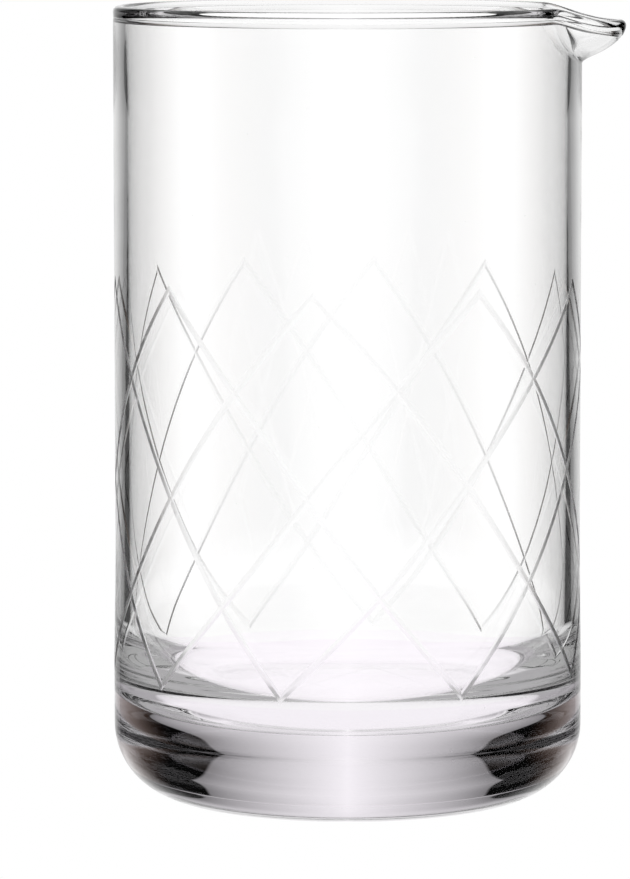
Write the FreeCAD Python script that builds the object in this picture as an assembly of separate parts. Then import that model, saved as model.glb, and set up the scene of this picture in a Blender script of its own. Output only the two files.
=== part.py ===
"""Stirring glass for mixed drinks: a heavy clear foot fused to a cut, spouted wall.

Millimetres, +Z up. The origin is the centre of the flat foot face and the spout points along +X.
Two solids meet face to face at the seam ring:
  base  the thick foot, with the bowl floor and the start of its rounded inner corner
  wall  the end of that corner and the cylinder, with the cut lattice, the rounded rim and the spout
"""
import FreeCAD, Part
import math
import os

Vector = FreeCAD.Vector

# ---- driving dimensions -------------------------------------------------------------------------
OVERALL_HEIGHT = 158.75     # foot face to the top of the rim
WALL_RADIUS = 46.75         # outside of the wall
WALL_THICKNESS = 2.8        # between the inner corner and the hot-worked band
RIM_THICKNESS = 2.4         # at the rim and the lip of the spout
FOOT_FLARE = 0.35           # how far the foot widens below the seam

FLOOR_HEIGHT = 16.9         # foot face to the bowl floor
INNER_CORNER_RADIUS = 20.0  # floor to wall, inside
SEAM_ABOVE_FLOOR = 7.5      # height of the seam ring, partway up the inner corner
HEEL_RADIUS = 14.6          # foot face to side, outside

SPOUT_PULL = 8.95           # how far the lip is drawn out past the wall
SPOUT_DROOP = 0.72          # how far the lip starts to sink for each millimetre of pull
SPOUT_LIFT = 0.064          # share of the sinking lost with each millimetre of pull
SPOUT_DEPTH = 9.3           # from the rim down to the root of the spout
SPOUT_HALF_ANGLE = 26.0     # degrees of the rim drawn in on each side of the lip
LIP_SOFTNESS = 0.12         # rounding of the lip in plan, as a share of the spout
BAND_BELOW_SPOUT = 12.7     # how far the hot-worked band reaches below the spout

LATTICE_TOP = 104.5         # upper points of the cut lattice
LATTICE_ABOVE_SEAM = 1.4    # lower points, above the seam
GROOVE_WIDTH = 1.3          # across the cut, at the glass surface
RIGHT_HAND_DEPTH = 0.27     # of the cuts made first
LEFT_HAND_DEPTH = 0.3       # of the cuts that cross them
GROOVE_CLEAR = 0.5          # how far the cutter stands out of the glass
GROOVE_RUN_OUT = 0.5        # degrees that each cut runs on past its mark

# The cutter's marks, in degrees around from the spout. Set out by hand, so not quite even.
TOP_MARKS = (-98, -57, -18, 14, 50, 83, 119, 153, 188, 222)
BOTTOM_MARKS = (-106, -62, -19, 17, 50, 83, 118, 152, 186, 219)
MARKS_CROSSED = 2           # each cut runs from a top mark to the bottom mark two along

# ---- shared sizes -------------------------------------------------------------------------------
BORE_RADIUS = WALL_RADIUS - WALL_THICKNESS
BASE_RADIUS = WALL_RADIUS + FOOT_FLARE
FLOOR_RADIUS = BORE_RADIUS - INNER_CORNER_RADIUS
CORNER_TOP = FLOOR_HEIGHT + INNER_CORNER_RADIUS
SEAM_HEIGHT = FLOOR_HEIGHT + SEAM_ABOVE_FLOOR
SEAM_ANGLE = -math.degrees(math.asin(1 - SEAM_ABOVE_FLOOR / INNER_CORNER_RADIUS))
SEAM_RADIUS = FLOOR_RADIUS + INNER_CORNER_RADIUS * math.cos(math.radians(SEAM_ANGLE))
RIM_BAND = SPOUT_DEPTH + BAND_BELOW_SPOUT
BAND_HEIGHT = OVERALL_HEIGHT - RIM_BAND
SHEET_DEPTH = RIM_BAND - RIM_THICKNESS / 2
LATTICE_BOTTOM = SEAM_HEIGHT + LATTICE_ABOVE_SEAM

# Fineness of the skinned band: stations around it, up each face and over the rim.
STATIONS_AROUND = 144
ROWS_UP = 16
ROWS_OVER = 6


def at(radius, height):
    """Point of a profile in the XZ plane."""
    return Vector(radius, 0, height)


def line(start, end):
    return Part.LineSegment(start, end).toShape()


def corner_arc(centre, radius, start_angle, end_angle):
    """Arc in the XZ plane between two angles in degrees, counted from +X towards +Z."""
    def on_arc(angle):
        turn = math.radians(angle)
        return at(centre.x + radius * math.cos(turn), centre.z + radius * math.sin(turn))
    middle = (start_angle + end_angle) / 2
    return Part.Arc(on_arc(start_angle), on_arc(middle), on_arc(end_angle)).toShape()


def turned(edges):
    """Solid of revolution about Z from the edges of a closed profile."""
    profile = Part.Face(Part.Wire(edges))
    return profile.revolve(Vector(0, 0, 0), Vector(0, 0, 1), 360)


# ---- base ---------------------------------------------------------------------------------------
def inner_corner(start_angle, end_angle):
    """Part of the rounded corner between the bore and the floor: 0 is its top, -90 the floor."""
    return corner_arc(at(FLOOR_RADIUS, CORNER_TOP), INNER_CORNER_RADIUS, start_angle, end_angle)


def make_base():
    """Thick foot: rounded heel outside, cup-shaped top with the bowl floor."""
    foot_radius = BASE_RADIUS - HEEL_RADIUS
    return turned([
        line(at(0, 0), at(foot_radius, 0)),
        corner_arc(at(foot_radius, HEEL_RADIUS), HEEL_RADIUS, -90, 0),
        line(at(BASE_RADIUS, HEEL_RADIUS), at(WALL_RADIUS, SEAM_HEIGHT)),
        line(at(WALL_RADIUS, SEAM_HEIGHT), at(SEAM_RADIUS, SEAM_HEIGHT)),
        inner_corner(SEAM_ANGLE, -90),
        line(at(FLOOR_RADIUS, FLOOR_HEIGHT), at(0, FLOOR_HEIGHT)),
        line(at(0, FLOOR_HEIGHT), at(0, 0)),
    ])


# ---- rim band with the spout --------------------------------------------------------------------
def pull(angle, depth):
    """How far the glass is drawn outwards, at an angle from the lip and a depth below the rim."""
    across = angle / SPOUT_HALF_ANGLE
    down = depth / SPOUT_DEPTH
    reach = math.sqrt(across ** 2 + down ** 2 + LIP_SOFTNESS ** 2) - LIP_SOFTNESS
    if reach >= 1:
        return 0.0
    return SPOUT_PULL * (1 - reach) ** 2 * (1 + reach)


def sheet_thickness(depth):
    """Wall thickness, easing from the full wall to the thinner rim."""
    share = min(depth / SHEET_DEPTH, 1.0)
    ease = share ** 2 * (3 - 2 * share)
    return RIM_THICKNESS + (WALL_THICKNESS - RIM_THICKNESS) * ease


def middle_of_sheet(angle, depth):
    """Point halfway through the glass, before its thickness is added."""
    drawn = pull(angle, depth)
    radius = WALL_RADIUS - sheet_thickness(depth) / 2 + drawn
    sunk = SPOUT_DROOP * drawn * (1 - SPOUT_LIFT * drawn)
    height = OVERALL_HEIGHT - RIM_THICKNESS / 2 - depth - sunk
    turn = math.radians(angle)
    return Vector(radius * math.cos(turn), radius * math.sin(turn), height)


def sheet_frame(angle, depth):
    """Middle point, unit normal outwards and unit direction up the sheet."""
    small = 0.01
    around = middle_of_sheet(angle + small, depth) - middle_of_sheet(angle - small, depth)
    up = middle_of_sheet(angle, depth) - middle_of_sheet(angle, depth + small)
    outward = around.cross(up).normalize()
    return middle_of_sheet(angle, depth), outward, outward.cross(around).normalize()


def face_point(angle, depth, side):
    """Point on the outer (side 1) or inner (side -1) face of the sheet."""
    middle, outward, _ = sheet_frame(angle, depth)
    return middle + outward * (side * sheet_thickness(depth) / 2)


def rim_point(angle, turn):
    """Point on the half-round edge, from the outer face (0 degrees) to the inner one (180)."""
    middle, outward, up = sheet_frame(angle, 0)
    swing = math.radians(turn)
    return middle + (outward * math.cos(swing) + up * math.sin(swing)) * (RIM_THICKNESS / 2)


def band_rows():
    """Closed rows of points up the outer face, over the rim and down the inner face."""
    angles = [360 * station / STATIONS_AROUND - 180 for station in range(STATIONS_AROUND)]
    depths = [SHEET_DEPTH * (1 - row / ROWS_UP) for row in range(ROWS_UP)]
    turns = [180 * row / ROWS_OVER for row in range(ROWS_OVER + 1)]
    rows = [[face_point(angle, depth, 1) for angle in angles] for depth in depths]
    rows += [[rim_point(angle, turn) for angle in angles] for turn in turns]
    rows += [[face_point(angle, depth, -1) for angle in angles] for depth in reversed(depths)]
    return rows


def skin(rows):
    """Smooth surface through closed rows of points, cubic both ways."""
    around = [float(station) for station in range(STATIONS_AROUND + 1)]
    along = [float(row) for row in range(len(rows))]
    ring_poles = []
    for row in rows:
        ring = Part.BSplineCurve()
        ring.interpolate(Points=row, PeriodicFlag=True, Parameters=around)
        ring_poles.append(ring.getPoles())
    net = []
    for column in zip(*ring_poles):
        rail = Part.BSplineCurve()
        rail.interpolate(Points=list(column), Parameters=along)
        net.append(rail.getPoles())
    surface = Part.BSplineSurface()
    surface.buildFromPolesMultsKnots(
        net, ring.getMultiplicities(), rail.getMultiplicities(), ring.getKnots(), rail.getKnots(),
        True, False, ring.Degree, rail.Degree)
    return surface


def make_rim_band():
    """Top of the wall: the skinned sheet closed by a flat ring where it joins the cylinder."""
    sheet = skin(band_rows()).toShape()
    low_edges = [edge for edge in sheet.Edges if edge.BoundBox.ZLength < 0.001]
    low_edges.sort(key=lambda edge: -edge.BoundBox.XLength)
    ring = Part.makeFace([Part.Wire(edge) for edge in low_edges], "Part::FaceMakerBullseye")
    shell = Part.Shell([sheet] + ring.Faces)
    shell.sewShape()
    band = Part.Solid(shell)
    if band.Volume < 0:
        band.reverse()
    return band


# ---- lattice ------------------------------------------------------------------------------------
def make_groove(top_mark, bottom_mark, depth):
    """Cutter for one V cut that winds down the wall from a top mark to a bottom mark."""
    drop = LATTICE_TOP - LATTICE_BOTTOM
    sweep = bottom_mark - top_mark
    run_out = drop * GROOVE_RUN_OUT / abs(sweep)
    height = drop + 2 * run_out
    turns = (abs(sweep) + 2 * GROOVE_RUN_OUT) / 360
    path = Part.makeLongHelix(height / turns, height, WALL_RADIUS, 0, sweep > 0)
    steepness = math.atan2(height, math.radians(360 * turns) * WALL_RADIUS)
    half_opening = GROOVE_WIDTH / 2 / math.cos(steepness)
    outer_half = half_opening * (depth + GROOVE_CLEAR) / depth
    section = Part.makePolygon([
        at(WALL_RADIUS - depth, 0),
        at(WALL_RADIUS + GROOVE_CLEAR, -outer_half),
        at(WALL_RADIUS + GROOVE_CLEAR, outer_half),
        at(WALL_RADIUS - depth, 0),
    ])
    cutter = Part.Wire(path).makePipeShell([section], True, True)
    start_angle = bottom_mark + math.copysign(GROOVE_RUN_OUT, sweep)
    cutter.rotate(Vector(0, 0, 0), Vector(0, 0, 1), start_angle)
    cutter.translate(Vector(0, 0, LATTICE_BOTTOM - run_out))
    return cutter


def make_lattice(step, depth):
    """Cutters for all the cuts that wind one way, each past the same number of marks."""
    count = len(TOP_MARKS)
    cutters = []
    for index, top_mark in enumerate(TOP_MARKS):
        laps, target = divmod(index + step, count)
        cutters.append(make_groove(top_mark, BOTTOM_MARKS[target] + 360 * laps, depth))
    return cutters


# ---- wall ---------------------------------------------------------------------------------------
def make_wall():
    """Turned cylinder above the seam with the rim band on top and the lattice cut in it."""
    wall = turned([
        line(at(SEAM_RADIUS, SEAM_HEIGHT), at(WALL_RADIUS, SEAM_HEIGHT)),
        line(at(WALL_RADIUS, SEAM_HEIGHT), at(WALL_RADIUS, BAND_HEIGHT)),
        line(at(WALL_RADIUS, BAND_HEIGHT), at(BORE_RADIUS, BAND_HEIGHT)),
        line(at(BORE_RADIUS, BAND_HEIGHT), at(BORE_RADIUS, CORNER_TOP)),
        inner_corner(0, SEAM_ANGLE),
    ])
    wall = wall.fuse(make_rim_band())
    wall = wall.cut(make_lattice(MARKS_CROSSED, RIGHT_HAND_DEPTH))
    return wall.cut(make_lattice(-MARKS_CROSSED, LEFT_HAND_DEPTH))


def main():
    os.makedirs("parts", exist_ok=True)
    for name, shape in (("base", make_base()), ("wall", make_wall())):
        solid = shape.Solids[0]
        print(name, "solids", len(shape.Solids), "valid", shape.isValid(),
              "volume cm3", round(solid.Volume / 1000, 2))
        solid.exportStep("parts/" + name + ".step")


main()
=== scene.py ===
"""Visual model of a stirring glass: a heavy clear foot fused to a cut, spouted wall.

Metres, +Z up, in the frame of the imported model. The spout points along +X.
"""
import logging
import math
from collections.abc import Callable
from dataclasses import dataclass
from enum import Enum

import bpy
import numpy as np
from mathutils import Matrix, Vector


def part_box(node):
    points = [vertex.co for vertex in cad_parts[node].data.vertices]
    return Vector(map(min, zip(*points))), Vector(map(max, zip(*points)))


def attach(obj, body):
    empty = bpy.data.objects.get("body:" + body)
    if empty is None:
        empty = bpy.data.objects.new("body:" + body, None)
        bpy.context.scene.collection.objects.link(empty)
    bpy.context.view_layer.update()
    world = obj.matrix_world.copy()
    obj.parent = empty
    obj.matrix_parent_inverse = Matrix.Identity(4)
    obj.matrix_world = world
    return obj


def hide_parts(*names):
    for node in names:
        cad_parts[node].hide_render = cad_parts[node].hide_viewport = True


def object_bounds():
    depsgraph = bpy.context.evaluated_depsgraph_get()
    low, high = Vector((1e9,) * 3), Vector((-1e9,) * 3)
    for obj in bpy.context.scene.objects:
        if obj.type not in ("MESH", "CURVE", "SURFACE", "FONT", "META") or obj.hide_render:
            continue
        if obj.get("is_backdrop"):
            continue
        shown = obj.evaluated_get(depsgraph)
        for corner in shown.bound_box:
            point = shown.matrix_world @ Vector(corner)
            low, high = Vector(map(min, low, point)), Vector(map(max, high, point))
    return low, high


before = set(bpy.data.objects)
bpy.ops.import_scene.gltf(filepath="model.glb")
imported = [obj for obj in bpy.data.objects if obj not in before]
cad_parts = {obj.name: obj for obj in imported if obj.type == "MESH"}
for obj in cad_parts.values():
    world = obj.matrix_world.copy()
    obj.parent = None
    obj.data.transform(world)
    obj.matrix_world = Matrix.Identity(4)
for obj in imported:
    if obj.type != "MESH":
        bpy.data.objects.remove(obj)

LOG = logging.getLogger("stirring_glass")
Shape = Callable[[np.ndarray, np.ndarray], np.ndarray]
Run = Callable[[np.ndarray], np.ndarray]

WELD_STEPS = 1e7         # to the metre: corners that round to the same step are one point
EDGE_MARGIN = 1e-4       # share of a patch kept clear of its edges when its normals are measured
SMALL_ANGLE = 0.01       # degrees, for measuring directions on the rim
SMALL_DEPTH = 1e-5       # metres, for the same


class Hand(Enum):
    """Which way a cut winds as it comes down the wall."""

    RIGHT = 1
    LEFT = -1


class Side(Enum):
    """Face of the glass sheet."""

    OUTER = 1
    INNER = -1


class Dress(Enum):
    """Material slot of a face."""

    SMOOTH = 0
    CUT = 1
    SEAM = 2


def ease(share: np.ndarray) -> np.ndarray:
    """Smooth step from 0 to 1, flat at both ends."""
    held = np.clip(share, 0.0, 1.0)
    return held ** 2 * (3.0 - 2.0 * held)


def round_about(radius: np.ndarray, angle: np.ndarray, height: np.ndarray) -> np.ndarray:
    """Turn cylindrical coordinates into points.

    Args:
        radius: Distance from the axis, in metres.
        angle: Degrees around from the spout.
        height: Metres above the foot.

    Returns:
        Points, with x, y and z in the last axis.
    """
    turn = np.radians(angle)
    return np.stack([radius * np.cos(turn), radius * np.sin(turn), height + 0.0 * turn], axis=-1)


class Skin:
    """Gathers patches that share their edges, with the true normal at each corner."""

    def __init__(self) -> None:
        """Start with no points and no faces."""
        self.points: list[tuple[float, float, float]] = []
        self.known: dict[tuple[int, int, int], int] = {}
        self.faces: list[list[int]] = []
        self.normals: list[list[np.ndarray]] = []
        self.dress: list[int] = []

    def vertex(self, place: np.ndarray) -> int:
        """Find the point at a place, adding it if it is new.

        Args:
            place: Where the point is.

        Returns:
            Its index.
        """
        key = (round(place[0] * WELD_STEPS), round(place[1] * WELD_STEPS), round(place[2] * WELD_STEPS))
        if key not in self.known:
            self.known[key] = len(self.points)
            self.points.append((float(place[0]), float(place[1]), float(place[2])))
        return self.known[key]

    def face(self, corners: list[tuple[int, np.ndarray]], dress: Dress) -> None:
        """Add one face, leaving out corners that fall together.

        Args:
            corners: Point index and normal of each corner, in order.
            dress: Material slot.
        """
        kept = [corner for place, corner in enumerate(corners) if corner[0] != corners[place - 1][0]]
        if len(kept) > 2:
            self.faces.append([corner[0] for corner in kept])
            self.normals.append([corner[1] for corner in kept])
            self.dress.append(dress.value)

    def patch(self, shape: Shape, across: np.ndarray, along: np.ndarray, dress: Dress) -> None:
        """Lay a grid over a surface. Across turned towards along points out of the glass.

        Args:
            shape: The surface, from its two parameters to points.
            across: Values of the first parameter.
            along: Values of the second parameter.
            dress: Material slot.
        """
        first, second = np.meshgrid(across, along)
        places = shape(first, second)
        normals = self.true_normals(shape, first, second)
        index = [[self.vertex(place) for place in row] for row in places]
        for row in range(len(along) - 1):
            for column in range(len(across) - 1):
                ring = ((row, column), (row, column + 1), (row + 1, column + 1), (row + 1, column))
                self.face([(index[r][c], normals[r, c]) for r, c in ring], dress)

    @staticmethod
    def true_normals(shape: Shape, first: np.ndarray, second: np.ndarray) -> np.ndarray:
        """Measure a surface's unit normals just inside its own edges.

        Args:
            shape: The surface.
            first: Grid of its first parameter.
            second: Grid of its second parameter.

        Returns:
            Unit normals, one for each grid point.
        """
        steps = []
        for grid in (first, second):
            low, high = float(grid.min()), float(grid.max())
            margin = EDGE_MARGIN * (high - low)
            steps.append((np.clip(grid, low + margin, high - margin), margin / 2))
        (u, du), (v, dv) = steps
        normal = np.cross(shape(u + du, v) - shape(u - du, v), shape(u, v + dv) - shape(u, v - dv))
        return normal / np.linalg.norm(normal, axis=-1, keepdims=True)

    def zip_rings(self, low: np.ndarray, high: np.ndarray, place: Shape, dress: Dress) -> None:
        """Join two rings that have different spacing with a band of triangles.

        Args:
            low: Angles of the first ring over one whole turn, in degrees, ends included.
            high: Angles of the second ring, from the same start.
            place: The surface, from an angle and a 0 to 1 share across the band.
            dress: Material slot.
        """
        rings = []
        for angles, share in ((low, 0.0), (high, 1.0)):
            level = np.full_like(angles, share)
            small = 0.001
            edge = np.clip(level, small, 1.0 - small)
            around = place(angles + small, edge) - place(angles - small, edge)
            over = place(angles, edge + small) - place(angles, edge - small)
            normal = np.cross(around, over)
            normal /= np.linalg.norm(normal, axis=-1, keepdims=True)
            rings.append([(self.vertex(p), n) for p, n in zip(place(angles, level), normal)])
        lower, upper = 0, 0
        while lower < len(low) - 1 or upper < len(high) - 1:
            step_low = upper == len(high) - 1 or (lower < len(low) - 1 and low[lower + 1] < high[upper + 1])
            third = rings[0][lower + 1] if step_low else rings[1][upper + 1]
            self.face([rings[0][lower], third, rings[1][upper]], dress)
            lower, upper = (lower + 1, upper) if step_low else (lower, upper + 1)

    def finish(self, name: str, materials: list[bpy.types.Material]) -> bpy.types.Object:
        """Make the object.

        Args:
            name: Name of the piece.
            materials: Materials in the order of Dress.

        Returns:
            The new object, linked into the scene.
        """
        mesh = bpy.data.meshes.new(name)
        mesh.from_pydata(self.points, [], self.faces)
        for material in materials:
            mesh.materials.append(material)
        mesh.polygons.foreach_set("material_index", self.dress)
        mesh.polygons.foreach_set("use_smooth", [True] * len(self.faces))
        mesh.update()
        flat = [tuple(float(part) for part in normal) for face in self.normals for normal in face]
        mesh.normals_split_custom_set(flat)
        piece = bpy.data.objects.new(name, mesh)
        bpy.context.scene.collection.objects.link(piece)
        return piece


@dataclass(frozen=True)
class Body:
    """Sizes that the wall and the foot share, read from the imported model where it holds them."""

    height: float
    seam: float
    foot_radius: float
    flare: float = 0.00035
    flare_top: float = 0.052
    thickness: float = 0.0028
    floor: float = 0.0169
    corner: float = 0.020
    heel: float = 0.0146

    @property
    def wall_radius(self) -> float:
        """Outside of the wall above the flare."""
        return self.foot_radius - self.flare

    @property
    def bore_radius(self) -> float:
        """Inside of the wall."""
        return self.wall_radius - self.thickness

    @property
    def seam_angle(self) -> float:
        """Angle on the inner corner where the two pieces meet, in degrees."""
        return -math.degrees(math.asin((self.floor + self.corner - self.seam) / self.corner))

    def outside(self, height: np.ndarray) -> np.ndarray:
        """Outer radius at a height above the heel."""
        share = (height - self.seam) / (self.flare_top - self.seam)
        return self.foot_radius - self.flare * ease(share)

    def inner_corner(self, around: np.ndarray, swing: np.ndarray) -> np.ndarray:
        """Rounded corner between the bore and the floor.

        Args:
            around: Degrees around from the spout.
            swing: Degrees on the corner: 0 is its top and -90 the floor.

        Returns:
            Points on the corner.
        """
        turn = np.radians(swing)
        radius = self.bore_radius - self.corner * (1.0 - np.cos(turn))
        return round_about(radius, around, self.floor + self.corner * (1.0 + np.sin(turn)))


@dataclass(frozen=True)
class Lattice:
    """Diamond lattice of V cuts around the wall, set out from listed marks."""

    top_marks: tuple[float, ...] = (-98, -57, -18, 14, 50, 83, 119, 153, 188, 222)
    bottom_marks: tuple[float, ...] = (-106, -62, -19, 17, 50, 83, 118, 152, 186, 219)
    marks_crossed: int = 2
    top: float = 0.1045
    bottom: float = 0.0264
    cut_width: float = 0.0013
    cut_depth: float = 0.00018
    bow: float = 0.016
    steps: int = 12

    @staticmethod
    def mark(marks: tuple[float, ...], index: int) -> float:
        """Angle of a mark, counted on past the end of the list for a second lap."""
        laps, place = divmod(index, len(marks))
        return marks[place] + 360.0 * laps

    def cut(self, hand: Hand, index: int, share: np.ndarray) -> np.ndarray:
        """Follow a cut down the wall.

        Args:
            hand: Which way the cut winds.
            index: Its top mark.
            share: 0 at the top and 1 at the bottom.

        Returns:
            Angle in degrees and height in metres, in the last axis.
        """
        start = self.mark(self.top_marks, index)
        end = self.mark(self.bottom_marks, index + hand.value * self.marks_crossed)
        down = share - self.bow * np.sin(2.0 * np.pi * share)
        angle = start + (end - start) * share
        return np.stack([angle, self.top - (self.top - self.bottom) * down], axis=-1)

    def meeting(self, right: int, left: int) -> float:
        """Find where a right-hand cut meets a left-hand one.

        Args:
            right: Top mark of the right-hand cut.
            left: Top mark of the left-hand cut.

        Returns:
            Share of the way down.
        """
        gap = self.mark(self.top_marks, left) - self.mark(self.top_marks, right)
        right_end = self.mark(self.bottom_marks, right + self.marks_crossed)
        left_end = self.mark(self.bottom_marks, left - self.marks_crossed)
        return gap / (right_end - left_end + gap)

    def crossing(self, right: int, left: int) -> np.ndarray:
        """Angle and height where two cuts meet."""
        return self.cut(Hand.RIGHT, right, np.float64(self.meeting(right, left)))

    def run(self, start: tuple[int, int], end: tuple[int, int]) -> Run:
        """Stretch of a cut between two of its crossings.

        Args:
            start: Right-hand and left-hand index of the first crossing.
            end: The same for the second crossing.

        Returns:
            A function from 0 to 1 along the stretch to angle and height.
        """
        hand, index = (Hand.RIGHT, start[0]) if start[0] == end[0] else (Hand.LEFT, start[1])
        first, last = self.meeting(*start), self.meeting(*end)
        return lambda share: self.cut(hand, index, first + (last - first) * share)

    def mitre(self, corner: tuple[int, int], first: tuple[int, int], second: tuple[int, int],
              radius: float, outer: bool = False) -> np.ndarray:
        """Step from a crossing to the corner of the uncut face beside it.

        Args:
            corner: The crossing.
            first: Next crossing on one of its two cuts.
            second: Next crossing on the other cut.
            radius: Radius of the wall.
            outer: True for the face outside the angle of the two cuts.

        Returns:
            Step in angle and height.
        """
        scale = np.array([math.radians(radius), 1.0])
        ways = []
        close_by = np.float64(0.01)
        for target in (first, second):
            way = (self.run(corner, target)(close_by) - self.crossing(*corner)) * scale
            ways.append(way / np.linalg.norm(way))
        spread = abs(ways[0][0] * ways[1][1] - ways[0][1] * ways[1][0])
        reach = self.cut_width / 2.0 / spread
        return (ways[0] + ways[1]) * (-reach if outer else reach) / scale


@dataclass(frozen=True)
class Rim:
    """Fire-polished rim with the pouring spout drawn out of it."""

    thickness: float = 0.0024
    band: float = 0.0208
    bead: float = 0.0004
    bead_depth: float = 0.0020
    spout_pull: float = 0.00878
    spout_droop: float = 0.72
    spout_lift: float = 64.0
    spout_depth: float = 0.0093
    spout_half_angle: float = 26.0
    lip_softness: float = 0.12

    def pull(self, angle: np.ndarray, depth: np.ndarray) -> np.ndarray:
        """How far the glass is drawn outwards.

        Args:
            angle: Degrees around from the lip.
            depth: Metres below the rim.

        Returns:
            Metres of pull.
        """
        across = ((angle + 180.0) % 360.0 - 180.0) / self.spout_half_angle
        down = depth / self.spout_depth
        reach = np.sqrt(across ** 2 + down ** 2 + self.lip_softness ** 2) - self.lip_softness
        left = np.clip(1.0 - reach, 0.0, None)
        return self.spout_pull * left ** 2 * (1.0 + reach)

    def sheet(self, depth: np.ndarray, full: float) -> np.ndarray:
        """Wall thickness, easing from the full wall to the thinner rim with its soft bead."""
        swell = self.bead * np.sin(np.pi * np.clip(depth / self.bead_depth, 0.0, 1.0)) ** 2
        return self.thickness + (full - self.thickness) * ease(depth / self.band) + swell

    def middle(self, angle: np.ndarray, depth: np.ndarray, body: Body) -> np.ndarray:
        """Points halfway through the glass.

        Args:
            angle: Degrees around from the lip.
            depth: Metres below the rim's round edge.
            body: Sizes of the glass.

        Returns:
            Points in the middle of the sheet.
        """
        drawn = self.pull(angle, depth)
        radius = body.wall_radius - self.sheet(depth, body.thickness) / 2.0 + drawn
        sunk = self.spout_droop * drawn * (1.0 - self.spout_lift * drawn)
        height = body.height - self.thickness / 2.0 - depth - sunk
        return round_about(radius, angle, height)

    def directions(self, angle: np.ndarray, depth: np.ndarray, body: Body) -> tuple[np.ndarray, np.ndarray]:
        """Unit directions out of the sheet and up along it.

        Args:
            angle: Degrees around from the lip.
            depth: Metres below the rim's round edge.
            body: Sizes of the glass.

        Returns:
            The outward and the upward directions.
        """
        ahead = self.middle(angle + SMALL_ANGLE, depth, body)
        around = ahead - self.middle(angle - SMALL_ANGLE, depth, body)
        up = self.middle(angle, depth, body) - self.middle(angle, depth + SMALL_DEPTH, body)
        outward = np.cross(around, up)
        outward /= np.linalg.norm(outward, axis=-1, keepdims=True)
        upward = np.cross(outward, around)
        return outward, upward / np.linalg.norm(upward, axis=-1, keepdims=True)

    def face(self, side: Side, body: Body) -> Shape:
        """Outer or inner face, from an angle and a depth below the rim.

        Args:
            side: Which face.
            body: Sizes of the glass.

        Returns:
            The face as a function.
        """
        def place(angle: np.ndarray, depth: np.ndarray) -> np.ndarray:
            """Point of the face.

            Args:
                angle: Degrees around from the lip.
                depth: Metres below the rim's round edge.

            Returns:
                The point.
            """
            outward = self.directions(angle, depth, body)[0]
            half = self.sheet(depth, body.thickness)[..., None] * side.value / 2.0
            return self.middle(angle, depth, body) + outward * half
        return place

    def edge(self, body: Body) -> Shape:
        """Half-round edge, from an angle and a turn of 0 (outer face) to 180 degrees (inner).

        Args:
            body: Sizes of the glass.

        Returns:
            The edge as a function.
        """
        def place(angle: np.ndarray, turn: np.ndarray) -> np.ndarray:
            """Point of the edge.

            Args:
                angle: Degrees around from the lip.
                turn: Degrees over the edge from the outer face.

            Returns:
                The point.
            """
            outward, upward = self.directions(angle, 0.0 * angle, body)
            swing = np.radians(turn)[..., None]
            arm = outward * np.cos(swing) + upward * np.sin(swing)
            return self.middle(angle, 0.0 * angle, body) + arm * self.thickness / 2.0
        return place


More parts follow.
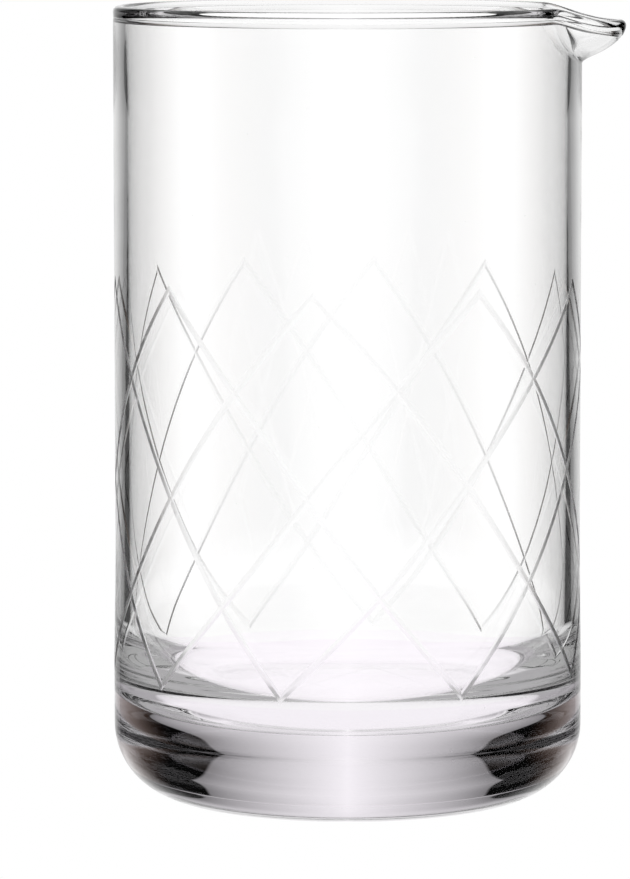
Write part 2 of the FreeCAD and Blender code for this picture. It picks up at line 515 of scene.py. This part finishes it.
@dataclass(frozen=True)
class Wall:
    """The blown cylinder with its cut lattice, rim and spout."""

    body: Body
    lattice: Lattice = Lattice()
    rim: Rim = Rim()
    plain_from: float = 0.108
    even_from: float = 0.110
    spout_margin: float = 4.0
    spout_step: float = 0.5
    plain_step: float = 1.5
    rows_flank: int = 3
    rows_plain: int = 10
    rows_band: int = 81
    rows_over: int = 17
    rows_bore: int = 12
    rows_corner: int = 15
    crowding: float = 1.6

    def on_wall(self, flat: np.ndarray, inset: np.ndarray | float = 0.0) -> np.ndarray:
        """Wrap angle and height onto the outside of the wall.

        Args:
            flat: Angle and height in the last axis.
            inset: Depth below the surface.

        Returns:
            Points.
        """
        angle, height = flat[..., 0], flat[..., 1]
        return round_about(self.body.outside(height) - inset, angle, height)

    def columns(self) -> np.ndarray:
        """Space the even columns, closer together at the spout.

        Returns:
            Their angles over one whole turn, ends included.
        """
        edge = self.rim.spout_half_angle + self.spout_margin
        start = self.lattice_start()
        fine = np.arange(-edge, edge + 0.01, self.spout_step)
        coarse = np.linspace(edge, start + 360.0, round((start + 360.0 - edge) / self.plain_step) + 1)
        before = np.linspace(start, -edge, round((-edge - start) / self.plain_step) + 1)
        return np.concatenate([before[:-1], fine, coarse[1:]])

    def lattice_start(self) -> float:
        """Angle of the first upper point of the lattice."""
        return self.lattice.mark(self.lattice.top_marks, 0)

    def cut_flank(self, skin: Skin, start: tuple[int, int], end: tuple[int, int],
                  first: np.ndarray, last: np.ndarray) -> None:
        """Lay one sloping side of a cut, from its bottom line out to the uncut face.

        Args:
            skin: Where the faces go.
            start: Crossing at one end, with the face on the left of the way to the other.
            end: Crossing at the other end.
            first: Mitre step at the start.
            last: Mitre step at the end.
        """
        run = self.lattice.run(start, end)

        def flank(share: np.ndarray, out: np.ndarray) -> np.ndarray:
            """Point of the flank."""
            step = first * (1.0 - share[..., None]) + last * share[..., None]
            return self.on_wall(run(share) + out[..., None] * step, (1.0 - out) * self.lattice.cut_depth)
        shares = np.linspace(0.0, 1.0, self.lattice.steps + 1)
        skin.patch(flank, shares, np.linspace(0.0, 1.0, self.rows_flank), Dress.CUT)

    def pad(self, skin: Skin, edges: tuple[Run, Run, Run, Run]) -> None:
        """Lay an uncut face between four edges.

        Args:
            skin: Where the faces go.
            edges: Lower and upper edges across, then first and last edges up.
        """
        low, high, near, far = edges

        def blend(across: np.ndarray, up: np.ndarray) -> np.ndarray:
            """Blend the four edges.

            Args:
                across: 0 to 1 from the near edge to the far one.
                up: 0 to 1 from the low edge to the high one.

            Returns:
                The point of the face.
            """
            u, v = across[..., None], up[..., None]
            zero, one = np.float64(0.0), np.float64(1.0)
            ruled = (1 - v) * low(across) + v * high(across) + (1 - u) * near(up) + u * far(up)
            corners = ((1 - u) * (1 - v) * low(zero) + u * (1 - v) * low(one)
                       + (1 - u) * v * high(zero) + u * v * high(one))
            return self.on_wall(ruled - corners)
        shares = np.linspace(0.0, 1.0, self.lattice.steps + 1)
        skin.patch(blend, shares, shares, Dress.SMOOTH)

    def pad_edge(self, start: tuple[int, int], end: tuple[int, int],
                 first: np.ndarray, last: np.ndarray) -> Run:
        """Edge of an uncut face along a cut.

        Args:
            start: Crossing at one end.
            end: Crossing at the other end.
            first: Mitre step at the start.
            last: Mitre step at the end.

        Returns:
            The edge as a function of 0 to 1.
        """
        run = self.lattice.run(start, end)

        def edge(share: np.ndarray) -> np.ndarray:
            """Angle and height on the edge."""
            part = np.asarray(share)[..., None]
            return run(share) + first * (1.0 - part) + last * part
        return edge

    @staticmethod
    def straight(start: np.ndarray, end: np.ndarray) -> Run:
        """Straight edge between two places on the unrolled wall."""
        return lambda share: start + (end - start) * np.asarray(share)[..., None]

    def diamond(self, skin: Skin, right: int, left: int) -> None:
        """Lay one diamond: its face and the four cut flanks around it.

        Args:
            skin: Where the faces go.
            right: Right-hand cut on its left side.
            left: Left-hand cut on its upper left side.
        """
        bottom, east = (right, left + 1), (right + 1, left + 1)
        top, west = (right + 1, left), (right, left)
        ring = (bottom, east, top, west)
        step = {here: self.lattice.mitre(here, ring[place - 1], ring[(place + 1) % 4], self.body.wall_radius)
                for place, here in enumerate(ring)}
        for place, here in enumerate(ring):
            after = ring[(place + 1) % 4]
            self.cut_flank(skin, here, after, step[here], step[after])
        self.pad(skin, (
            self.pad_edge(bottom, east, step[bottom], step[east]),
            self.pad_edge(west, top, step[west], step[top]),
            self.pad_edge(bottom, west, step[bottom], step[west]),
            self.pad_edge(east, top, step[east], step[top])))

    def fringe(self, skin: Skin, right: int, upper: bool) -> list[float]:
        """Lay the open faces between two points of the lattice and a plain ring.

        Args:
            skin: Where the faces go.
            right: Right-hand cut that starts at the first point.
            upper: True above the lattice, False below it.

        Returns:
            Angles of the new points on the ring, without the last.
        """
        lattice, radius = self.lattice, self.body.wall_radius
        reach = 0 if upper else 2 * lattice.marks_crossed
        inward = 1 if upper else -1
        ring = self.plain_from if upper else self.body.seam
        west, east = (right, right + reach), (right + 1, right + 1 + reach)
        dip = (right, right + 1) if upper else (right + 1, right + reach)
        step = {dip: lattice.mitre(dip, west, east, radius)}
        for tip in (west, east):
            ways = ((tip[0], tip[1] + inward), (tip[0] - inward, tip[1]))
            step[tip] = lattice.mitre(tip, *ways, radius, outer=True)
        chain = (west, dip, east) if upper else (east, dip, west)
        for here, after in zip(chain, chain[1:]):
            self.cut_flank(skin, here, after, step[here], step[after])
        angles: list[float] = []
        for here, after in ((west, dip), (dip, east)):
            near = lattice.crossing(*here) + step[here]
            far = lattice.crossing(*after) + step[after]
            along_cut = self.pad_edge(here, after, step[here], step[after])
            near_ring, far_ring = np.array([near[0], ring]), np.array([far[0], ring])
            on_ring = self.straight(near_ring, far_ring)
            if upper:
                sides = (self.straight(near, near_ring), self.straight(far, far_ring))
                self.pad(skin, (along_cut, on_ring, *sides))
            else:
                sides = (self.straight(near_ring, near), self.straight(far_ring, far))
                self.pad(skin, (on_ring, along_cut, *sides))
            shares = np.linspace(0.0, 1.0, lattice.steps + 1)[:-1]
            angles.extend(on_ring(shares)[:, 0])
        return angles

    def lay_lattice(self, skin: Skin) -> tuple[np.ndarray, np.ndarray]:
        """Lay every diamond and the open faces above and below them.

        Args:
            skin: Where the faces go.

        Returns:
            Angles of the points on the upper and the lower ring, ends included.
        """
        count = len(self.lattice.top_marks)
        rings = []
        for upper in (True, False):
            first = 0 if upper else -self.lattice.marks_crossed
            angles = [a for right in range(first, first + count) for a in self.fringe(skin, right, upper)]
            rings.append(np.array([*angles, angles[0] + 360.0]))
        for right in range(count):
            for row in range(1, 2 * self.lattice.marks_crossed):
                self.diamond(skin, right, right + row)
        return rings[0], rings[1]

    def build(self, materials: list[bpy.types.Material]) -> bpy.types.Object:
        """Make the wall.

        Args:
            materials: Materials in the order of Dress.

        Returns:
            The finished piece.
        """
        skin, body, rim = Skin(), self.body, self.rim
        upper, lower = self.lay_lattice(skin)
        columns = self.columns()
        band = body.height - rim.thickness / 2.0 - rim.band
        columns = columns + (upper[0] - columns[0])

        def climb(angle: np.ndarray, share: np.ndarray) -> np.ndarray:
            """Outside of the wall between the lattice ring and the even columns."""
            height = self.plain_from + (self.even_from - self.plain_from) * share
            return round_about(body.outside(height), angle, height)

        def outside(angle: np.ndarray, height: np.ndarray) -> np.ndarray:
            """Outside of the plain wall."""
            return round_about(body.outside(height), angle, height)

        def bore(angle: np.ndarray, fall: np.ndarray) -> np.ndarray:
            """Inside of the wall, from an angle and a fall below the band."""
            return round_about(body.bore_radius + 0.0 * fall, angle, band - fall)

        def seam(angle: np.ndarray, share: np.ndarray) -> np.ndarray:
            """Flat ring where the wall meets the foot.

            Args:
                angle: Degrees around from the spout.
                share: 0 at the inside and 1 at the outside.

            Returns:
                The point.
            """
            swing = math.radians(body.seam_angle)
            inner = body.bore_radius - body.corner * (1.0 - math.cos(swing))
            return round_about(inner + (body.foot_radius - inner) * share, angle, body.seam + 0.0 * share)

        skin.zip_rings(upper, columns, climb, Dress.SMOOTH)
        skin.patch(outside, columns, np.linspace(self.even_from, band, self.rows_plain), Dress.SMOOTH)
        rises = rim.band * (1.0 - np.linspace(1.0, 0.0, self.rows_band) ** self.crowding)
        outer, inner = rim.face(Side.OUTER, body), rim.face(Side.INNER, body)
        skin.patch(lambda angle, rise: outer(angle, rim.band - rise), columns, rises, Dress.SMOOTH)
        skin.patch(rim.edge(body), columns, np.linspace(0.0, 180.0, self.rows_over), Dress.SMOOTH)
        skin.patch(inner, columns, rises, Dress.SMOOTH)
        fall = band - body.floor - body.corner
        skin.patch(bore, columns, np.linspace(0.0, fall, self.rows_bore), Dress.SMOOTH)
        swings = np.linspace(0.0, -body.seam_angle, self.rows_corner)
        skin.patch(lambda angle, swing: body.inner_corner(angle, -swing), columns, swings, Dress.SMOOTH)
        turned = lower + (columns[0] - lower[0])
        offset = lower[0] - columns[0]
        skin.zip_rings(columns, turned, self.slide(seam, offset), Dress.SEAM)
        piece = skin.finish("cut_wall", materials)
        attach(piece, "root")
        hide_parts("wall")
        return piece

    @staticmethod
    def slide(shape: Shape, offset: float) -> Shape:
        """Turn the outer edge of a ring on by an angle, leaving its inner edge."""
        return lambda angle, share: shape(angle + offset * (share > 0.5), share)


@dataclass(frozen=True)
class Foot:
    """The thick foot with the floor of the bowl."""

    body: Body
    columns: int = 320
    rows_disc: int = 9
    rows_heel: int = 41
    rows_side: int = 5
    rows_corner: int = 31
    rows_floor: int = 9

    def build(self, materials: list[bpy.types.Material]) -> bpy.types.Object:
        """Make the foot.

        Args:
            materials: Materials in the order of Dress.

        Returns:
            The finished piece.
        """
        skin, body = Skin(), self.body
        around = np.linspace(0.0, 360.0, self.columns + 1)
        flat = body.foot_radius - body.heel
        floor_radius = body.bore_radius - body.corner
        seam_inner = floor_radius + body.corner * math.cos(math.radians(body.seam_angle))

        def disc(angle: np.ndarray, radius: np.ndarray) -> np.ndarray:
            """Foot face."""
            return round_about(radius, angle, 0.0 * radius)

        def heel(angle: np.ndarray, swing: np.ndarray) -> np.ndarray:
            """Rounded heel, from the foot face (0 degrees) to the side (90)."""
            turn = np.radians(swing)
            return round_about(flat + body.heel * np.sin(turn), angle, body.heel * (1.0 - np.cos(turn)))

        def side(angle: np.ndarray, height: np.ndarray) -> np.ndarray:
            """Side of the foot."""
            return round_about(body.foot_radius + 0.0 * height, angle, height)

        def seam(angle: np.ndarray, share: np.ndarray) -> np.ndarray:
            """Flat ring where the foot meets the wall, from the outside to the inside."""
            return round_about(body.foot_radius + (seam_inner - body.foot_radius) * share, angle,
                               body.seam + 0.0 * share)

        def floor(angle: np.ndarray, share: np.ndarray) -> np.ndarray:
            """Floor of the bowl, from its edge to its middle."""
            return round_about(floor_radius * (1.0 - share), angle, body.floor + 0.0 * share)

        skin.patch(disc, around, np.linspace(0.0, flat, self.rows_disc), Dress.SMOOTH)
        skin.patch(heel, around, np.linspace(0.0, 90.0, self.rows_heel), Dress.SMOOTH)
        skin.patch(side, around, np.linspace(body.heel, body.seam, self.rows_side), Dress.SMOOTH)
        skin.patch(seam, around, np.linspace(0.0, 1.0, 2), Dress.SEAM)
        swings = np.linspace(-body.seam_angle, 90.0, self.rows_corner)
        skin.patch(lambda angle, swing: body.inner_corner(angle, -swing), around, swings, Dress.SMOOTH)
        skin.patch(floor, around, np.linspace(0.0, 1.0, self.rows_floor), Dress.SMOOTH)
        piece = skin.finish("heavy_foot", materials)
        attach(piece, "root")
        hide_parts("base")
        return piece


class NodeTree:
    """Short ways to add and join shader nodes."""

    def __init__(self, tree: bpy.types.NodeTree) -> None:
        """Start from an emptied tree."""
        self.tree = tree
        tree.nodes.clear()

    def node(self, kind: str, **values: object) -> bpy.types.Node:
        """Add a node and set its properties.

        Args:
            kind: Node type.
            **values: Properties of the node.

        Returns:
            The node.
        """
        made = self.tree.nodes.new(kind)
        for name, value in values.items():
            setattr(made, name, value)
        return made

    def feed(self, socket: bpy.types.NodeSocket, source: object) -> None:
        """Give a socket its source.

        Args:
            socket: The socket.
            source: A plain value, or an output to join it to.
        """
        if isinstance(source, bpy.types.NodeSocket):
            self.tree.links.new(source, socket)
        else:
            socket.default_value = source

    def math(self, operation: str, *sources: object, clamp: bool = False) -> bpy.types.NodeSocket:
        """Add a Math node.

        Args:
            operation: What it does.
            *sources: Its inputs, as values or outputs.
            clamp: Hold the result between 0 and 1.

        Returns:
            Its output.
        """
        made = self.node("ShaderNodeMath", operation=operation, use_clamp=clamp)
        for socket, source in zip(made.inputs, sources):
            self.feed(socket, source)
        return made.outputs[0]


@dataclass(frozen=True)
class EffectGroup:
    """A shader node group used by more than one glass."""

    name: str
    inputs: tuple[tuple[str, float], ...]
    output: str

    def start(self) -> tuple[NodeTree, bpy.types.Node, bpy.types.Node]:
        """Make the group with its sockets.

        Returns:
            The group's nodes, its input node and its output node.
        """
        group = bpy.data.node_groups.new(self.name, "ShaderNodeTree")
        for label, value in self.inputs:
            socket = group.interface.new_socket(label, in_out="INPUT", socket_type="NodeSocketFloat")
            socket.default_value = value
        group.interface.new_socket(self.output, in_out="OUTPUT", socket_type="NodeSocketFloat")
        nodes = NodeTree(group)
        return nodes, nodes.node("NodeGroupInput"), nodes.node("NodeGroupOutput")


class Effects:
    """The groups that the glasses share: slow ripple of blown glass, and fine seeds and dust."""

    def __init__(self) -> None:
        """Build each group once."""
        self.ripple = self.make_ripple()
        self.specks = self.make_specks()

    @staticmethod
    def make_ripple() -> bpy.types.NodeTree:
        """Height of the shallow, mostly level ripples that hot work leaves.

        Returns:
            The group, with a Height output.
        """
        effect = EffectGroup("hot_work_ripple", (("Scale", 40.0), ("Stretch", 3.0)), "Height")
        nodes, source, result = effect.start()
        place = nodes.node("ShaderNodeTexCoord")
        parts = nodes.node("ShaderNodeSeparateXYZ")
        nodes.feed(parts.inputs[0], place.outputs["Object"])
        join = nodes.node("ShaderNodeCombineXYZ")
        nodes.feed(join.inputs[0], parts.outputs[0])
        nodes.feed(join.inputs[1], parts.outputs[1])
        nodes.feed(join.inputs[2], nodes.math("MULTIPLY", parts.outputs[2], source.outputs["Stretch"]))
        noise = nodes.node("ShaderNodeTexNoise")
        nodes.feed(noise.inputs["Vector"], join.outputs[0])
        nodes.feed(noise.inputs["Scale"], source.outputs["Scale"])
        noise.inputs["Detail"].default_value = 1.5
        noise.inputs["Roughness"].default_value = 0.4
        nodes.feed(result.inputs["Height"], noise.outputs["Fac"])
        return nodes.tree

    @staticmethod
    def make_specks() -> bpy.types.NodeTree:
        """Mask of sparse fine specks: seeds in the glass and dust on it.

        Returns:
            The group, with a Mask output.
        """
        effect = EffectGroup("fine_specks", (("Scale", 900.0), ("Size", 0.12), ("Share", 0.004)), "Mask")
        nodes, source, result = effect.start()
        place = nodes.node("ShaderNodeTexCoord")
        cells = nodes.node("ShaderNodeTexVoronoi", feature="F1")
        nodes.feed(cells.inputs["Vector"], place.outputs["Object"])
        nodes.feed(cells.inputs["Scale"], source.outputs["Scale"])
        dots = nodes.math("LESS_THAN", cells.outputs["Distance"], source.outputs["Size"])
        tint = nodes.node("ShaderNodeSeparateColor")
        nodes.feed(tint.inputs[0], cells.outputs["Color"])
        chosen = nodes.math("LESS_THAN", tint.outputs[0], source.outputs["Share"])
        nodes.feed(result.inputs["Mask"], nodes.math("MULTIPLY", dots, chosen))
        return nodes.tree


@dataclass(frozen=True)
class GlassFinish:
    """A clear glass surface with its ripple and specks."""

    name: str
    tint: tuple[float, float, float]
    roughness: float = 0.0
    ripple_scale: float = 40.0
    ripple_stretch: float = 3.0
    ripple_height: float = 0.00002
    speck_scale: float = 900.0
    speck_size: float = 0.12
    speck_share: float = 0.004
    speck_roughness: float = 0.5
    index: float = 1.5

    def build(self, effects: Effects) -> bpy.types.Material:
        """Make the material.

        Args:
            effects: Shared node groups.

        Returns:
            The material.
        """
        material = bpy.data.materials.new(self.name)
        material.use_nodes = True
        nodes = NodeTree(material.node_tree)
        glass = nodes.node("ShaderNodeBsdfPrincipled")
        glass.inputs["Base Color"].default_value = (*self.tint, 1.0)
        glass.inputs["Transmission Weight"].default_value = 1.0
        glass.inputs["IOR"].default_value = self.index
        specks = nodes.node("ShaderNodeGroup", node_tree=effects.specks)
        specks.inputs["Scale"].default_value = self.speck_scale
        specks.inputs["Size"].default_value = self.speck_size
        specks.inputs["Share"].default_value = self.speck_share
        grit = nodes.math("MULTIPLY_ADD", specks.outputs["Mask"], self.speck_roughness, self.roughness)
        nodes.feed(glass.inputs["Roughness"], grit)
        ripple = nodes.node("ShaderNodeGroup", node_tree=effects.ripple)
        ripple.inputs["Scale"].default_value = self.ripple_scale
        ripple.inputs["Stretch"].default_value = self.ripple_stretch
        bump = nodes.node("ShaderNodeBump")
        bump.inputs["Distance"].default_value = self.ripple_height
        nodes.feed(bump.inputs["Height"], ripple.outputs["Height"])
        nodes.feed(glass.inputs["Normal"], bump.outputs["Normal"])
        output = nodes.node("ShaderNodeOutputMaterial")
        nodes.feed(output.inputs["Surface"], glass.outputs["BSDF"])
        return material


@dataclass(frozen=True)
class FusedFinish:
    """The fused seam, where the glass carries on without a surface."""

    name: str = "fused_seam"

    def build(self) -> bpy.types.Material:
        """Make a material that nothing sees.

        Returns:
            The material.
        """
        material = bpy.data.materials.new(self.name)
        material.use_nodes = True
        nodes = NodeTree(material.node_tree)
        gone = nodes.node("ShaderNodeBsdfPrincipled")
        gone.inputs["Alpha"].default_value = 0.0
        output = nodes.node("ShaderNodeOutputMaterial")
        nodes.feed(output.inputs["Surface"], gone.outputs["BSDF"])
        return material


@dataclass(frozen=True)
class Room:
    """Light of the studio, by the direction it comes from and the way it took through the glass.

    Angles are in degrees. The panels stand before and behind the glass, with dark gaps at its sides.
    """

    panel_edge: float = 26.8
    panel_spread: float = 18.0
    spread_height: float = 5.0
    panel_light: tuple[float, float] = (1.0, 0.22)
    gap_from: float = 38.0
    gap_to: float = 85.0
    gap_light: float = 1.0
    gap_curve: float = 2.0
    gap_warmth: tuple[float, float, float] = (1.0, 1.12, 1.2)
    ceiling_from: float = 26.0
    ceiling_fade: float = 18.0
    ceiling_light: float = 0.8
    ground_from: float = -11.0
    ground_fade: float = 5.0
    onward_from: float = 0.6        # cosine from the line of sight, of reflections that glance on
    onward_fade: float = 0.3
    mirror_share: float = 0.03      # of the light, in a reflection off the outside
    both_walls: float = 3.5         # surfaces crossed, between one wall and two
    through_light: float = 1.14
    few_turns: float = 1.5          # reflections in the glass, past which gaps and ground are dark
    many_turns: float = 2.5         # and past which the whole room gives at least scattered light
    scattered_light: float = 0.45

    def panels(self, nodes: NodeTree, away: bpy.types.NodeSocket,
               rise: bpy.types.NodeSocket) -> bpy.types.NodeSocket:
        """Light of the panels, brightest in the middle and wider at eye level.

        Args:
            nodes: The world's nodes.
            away: Degrees around from the line of sight, 0 to 90.
            rise: Degrees above the horizon.

        Returns:
            The light as a plain value.
        """
        level = nodes.math("DIVIDE", rise, self.spread_height)
        fade = nodes.math("EXPONENT", nodes.math("MULTIPLY", nodes.math("MULTIPLY", level, level), -1.0))
        edge = nodes.math("MULTIPLY_ADD", fade, self.panel_spread, self.panel_edge)
        inside = nodes.math("ADD", nodes.math("SUBTRACT", edge, away), 0.5, clamp=True)
        bright, dim = self.panel_light
        glow = nodes.math("MULTIPLY_ADD", nodes.math("DIVIDE", away, edge), dim - bright, bright)
        return nodes.math("MULTIPLY", inside, glow)

    def gap(self, nodes: NodeTree, away: bpy.types.NodeSocket) -> bpy.types.NodeSocket:
        """Light between the panels, dark beside them and brightest square to the line of sight.

        Args:
            nodes: The world's nodes.
            away: Degrees around from the line of sight, 0 to 90.

        Returns:
            The light as a plain value.
        """
        deep = self.past(nodes, away, self.gap_from, self.gap_to - self.gap_from)
        return nodes.math("MULTIPLY", nodes.math("POWER", deep, self.gap_curve), self.gap_light)

    @staticmethod
    def past(nodes: NodeTree, first: object, second: object, fade: float) -> bpy.types.NodeSocket:
        """Rise from 0 to 1 as the first value passes the second by 0 to fade."""
        return nodes.math("DIVIDE", nodes.math("SUBTRACT", first, second), fade, clamp=True)

    def build(self) -> None:
        """Make the world: white to the eye, panels with dark gaps to the thick glass."""
        world = bpy.data.worlds.new("studio")
        bpy.context.scene.world = world
        world.use_nodes = True
        nodes = NodeTree(world.node_tree)
        place = nodes.node("ShaderNodeTexCoord")
        parts = nodes.node("ShaderNodeSeparateXYZ")
        nodes.feed(parts.inputs[0], place.outputs["Generated"])
        east = nodes.math("ABSOLUTE", parts.outputs[0])
        north = nodes.math("ABSOLUTE", parts.outputs[1])
        away = nodes.math("MULTIPLY", nodes.math("ARCTAN2", east, north), math.degrees(1.0))
        rise = nodes.math("MULTIPLY", nodes.math("ARCSINE", parts.outputs[2]), math.degrees(1.0))
        path = nodes.node("ShaderNodeLightPath")
        crossed, turned = path.outputs["Transmission Depth"], path.outputs["Glossy Depth"]

        seldom = nodes.math("LESS_THAN", turned, self.few_turns)
        ground = nodes.math("MULTIPLY", self.past(nodes, self.ground_from, rise, self.ground_fade), seldom)
        often = nodes.math("GREATER_THAN", turned, self.many_turns)
        scattered = nodes.math("MULTIPLY", often, self.scattered_light)
        light = nodes.math("MAXIMUM", self.panels(nodes, away, rise), ground)
        light = nodes.math("MAXIMUM", light, scattered)

        went_in = nodes.math("GREATER_THAN", crossed, 0.5)
        onward = self.past(nodes, parts.outputs[1], self.onward_from, self.onward_fade)
        share = nodes.math("MAXIMUM", nodes.math("MAXIMUM", went_in, onward), self.mirror_share)
        ceiling = self.past(nodes, rise, self.ceiling_from, self.ceiling_fade)
        above = nodes.math("MULTIPLY", ceiling, self.ceiling_light)
        light = nodes.math("MAXIMUM", nodes.math("MULTIPLY", light, share), above)

        sheets = nodes.math("GREATER_THAN", crossed, self.both_walls)
        straight = nodes.math("LESS_THAN", turned, 0.5)
        through = nodes.math("MULTIPLY", nodes.math("MULTIPLY", sheets, straight), self.through_light)
        light = nodes.math("MAXIMUM", light, through)
        light = nodes.math("MAXIMUM", light, path.outputs["Is Camera Ray"])

        gap = nodes.math("MULTIPLY", self.gap(nodes, away), seldom)
        join = nodes.node("ShaderNodeCombineColor")
        for socket, warmth in zip(join.inputs, self.gap_warmth):
            dusk = nodes.math("MULTIPLY", nodes.math("POWER", gap, warmth), share)
            nodes.feed(socket, nodes.math("MAXIMUM", light, dusk))
        background = nodes.node("ShaderNodeBackground")
        nodes.feed(background.inputs["Color"], join.outputs[0])
        output = nodes.node("ShaderNodeOutputWorld")
        nodes.feed(output.inputs["Surface"], background.outputs[0])


@dataclass(frozen=True)
class Studio:
    """Pale floor, room and camera."""

    room: Room = Room()
    floor_radius: float = 6.0
    floor_gap: float = 0.0002
    floor_sides: int = 128
    camera_place: tuple[float, float, float] = (0.0, -1.041, 0.1905)
    camera_down: float = 6.51
    camera_lens: float = 213.4
    camera_shift: float = -0.0371
    light_turns: int = 32
    mirror_turns: int = 16

    def lay_floor(self) -> None:
        """Make the pale floor. The glass takes its light from the room alone."""
        turns = [2.0 * math.pi * side / self.floor_sides for side in range(self.floor_sides)]
        ring = [(self.floor_radius * math.cos(t), self.floor_radius * math.sin(t), -self.floor_gap)
                for t in turns]
        mesh = bpy.data.meshes.new("pale_floor")
        mesh.from_pydata(ring, [], [list(range(self.floor_sides))])
        material = bpy.data.materials.new("pale_floor")
        material.use_nodes = True
        nodes = NodeTree(material.node_tree)
        light = nodes.node("ShaderNodeEmission")
        output = nodes.node("ShaderNodeOutputMaterial")
        nodes.feed(output.inputs["Surface"], light.outputs[0])
        mesh.materials.append(material)
        floor = bpy.data.objects.new("pale_floor", mesh)
        bpy.context.scene.collection.objects.link(floor)
        floor.visible_transmission = False
        floor.visible_glossy = False
        floor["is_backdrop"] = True

    def set_camera(self) -> None:
        """Place the camera a little above the rim, looking slightly down."""
        camera = bpy.data.cameras.new("camera")
        camera.lens = self.camera_lens
        camera.shift_x = self.camera_shift
        camera.clip_start = 0.01
        holder = bpy.data.objects.new("camera", camera)
        holder.location = self.camera_place
        holder.rotation_euler = (math.radians(90.0 - self.camera_down), 0.0, 0.0)
        bpy.context.scene.collection.objects.link(holder)
        bpy.context.scene.camera = holder

    def build(self) -> None:
        """Set the whole stage."""
        self.lay_floor()
        self.room.build()
        self.set_camera()
        scene = bpy.context.scene
        scene.view_settings.view_transform = "Standard"
        scene.cycles.max_bounces = self.light_turns
        scene.cycles.transmission_bounces = self.light_turns
        scene.cycles.glossy_bounces = self.mirror_turns
        scene.cycles.transparent_max_bounces = self.light_turns
        scene.cycles.sample_clamp_indirect = 0.0
        LOG.info("studio ready")


def main() -> None:
    """Build each piece in order."""
    logging.basicConfig(level=logging.INFO)
    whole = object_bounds()
    body = Body(height=whole[1][2], seam=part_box("wall")[0][2], foot_radius=-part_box("base")[0][0])
    effects = Effects()
    wall_glass = GlassFinish("clear_wall_glass", (0.985, 0.985, 0.985)).build(effects)
    cut_glass = GlassFinish("bright_cut_glass", (0.985, 0.985, 0.985), roughness=0.3,
                            ripple_scale=400.0).build(effects)
    foot_glass = GlassFinish("thick_foot_glass", (0.955, 0.915, 0.965), speck_share=0.02).build(effects)
    fused = FusedFinish().build()
    wall = Wall(body).build([wall_glass, cut_glass, fused])
    LOG.info("%s: %d faces", wall.name, len(wall.data.polygons))
    foot = Foot(body).build([foot_glass, foot_glass, fused])
    LOG.info("%s: %d faces", foot.name, len(foot.data.polygons))
    Studio().build()


if __name__ == "__main__":
    main()
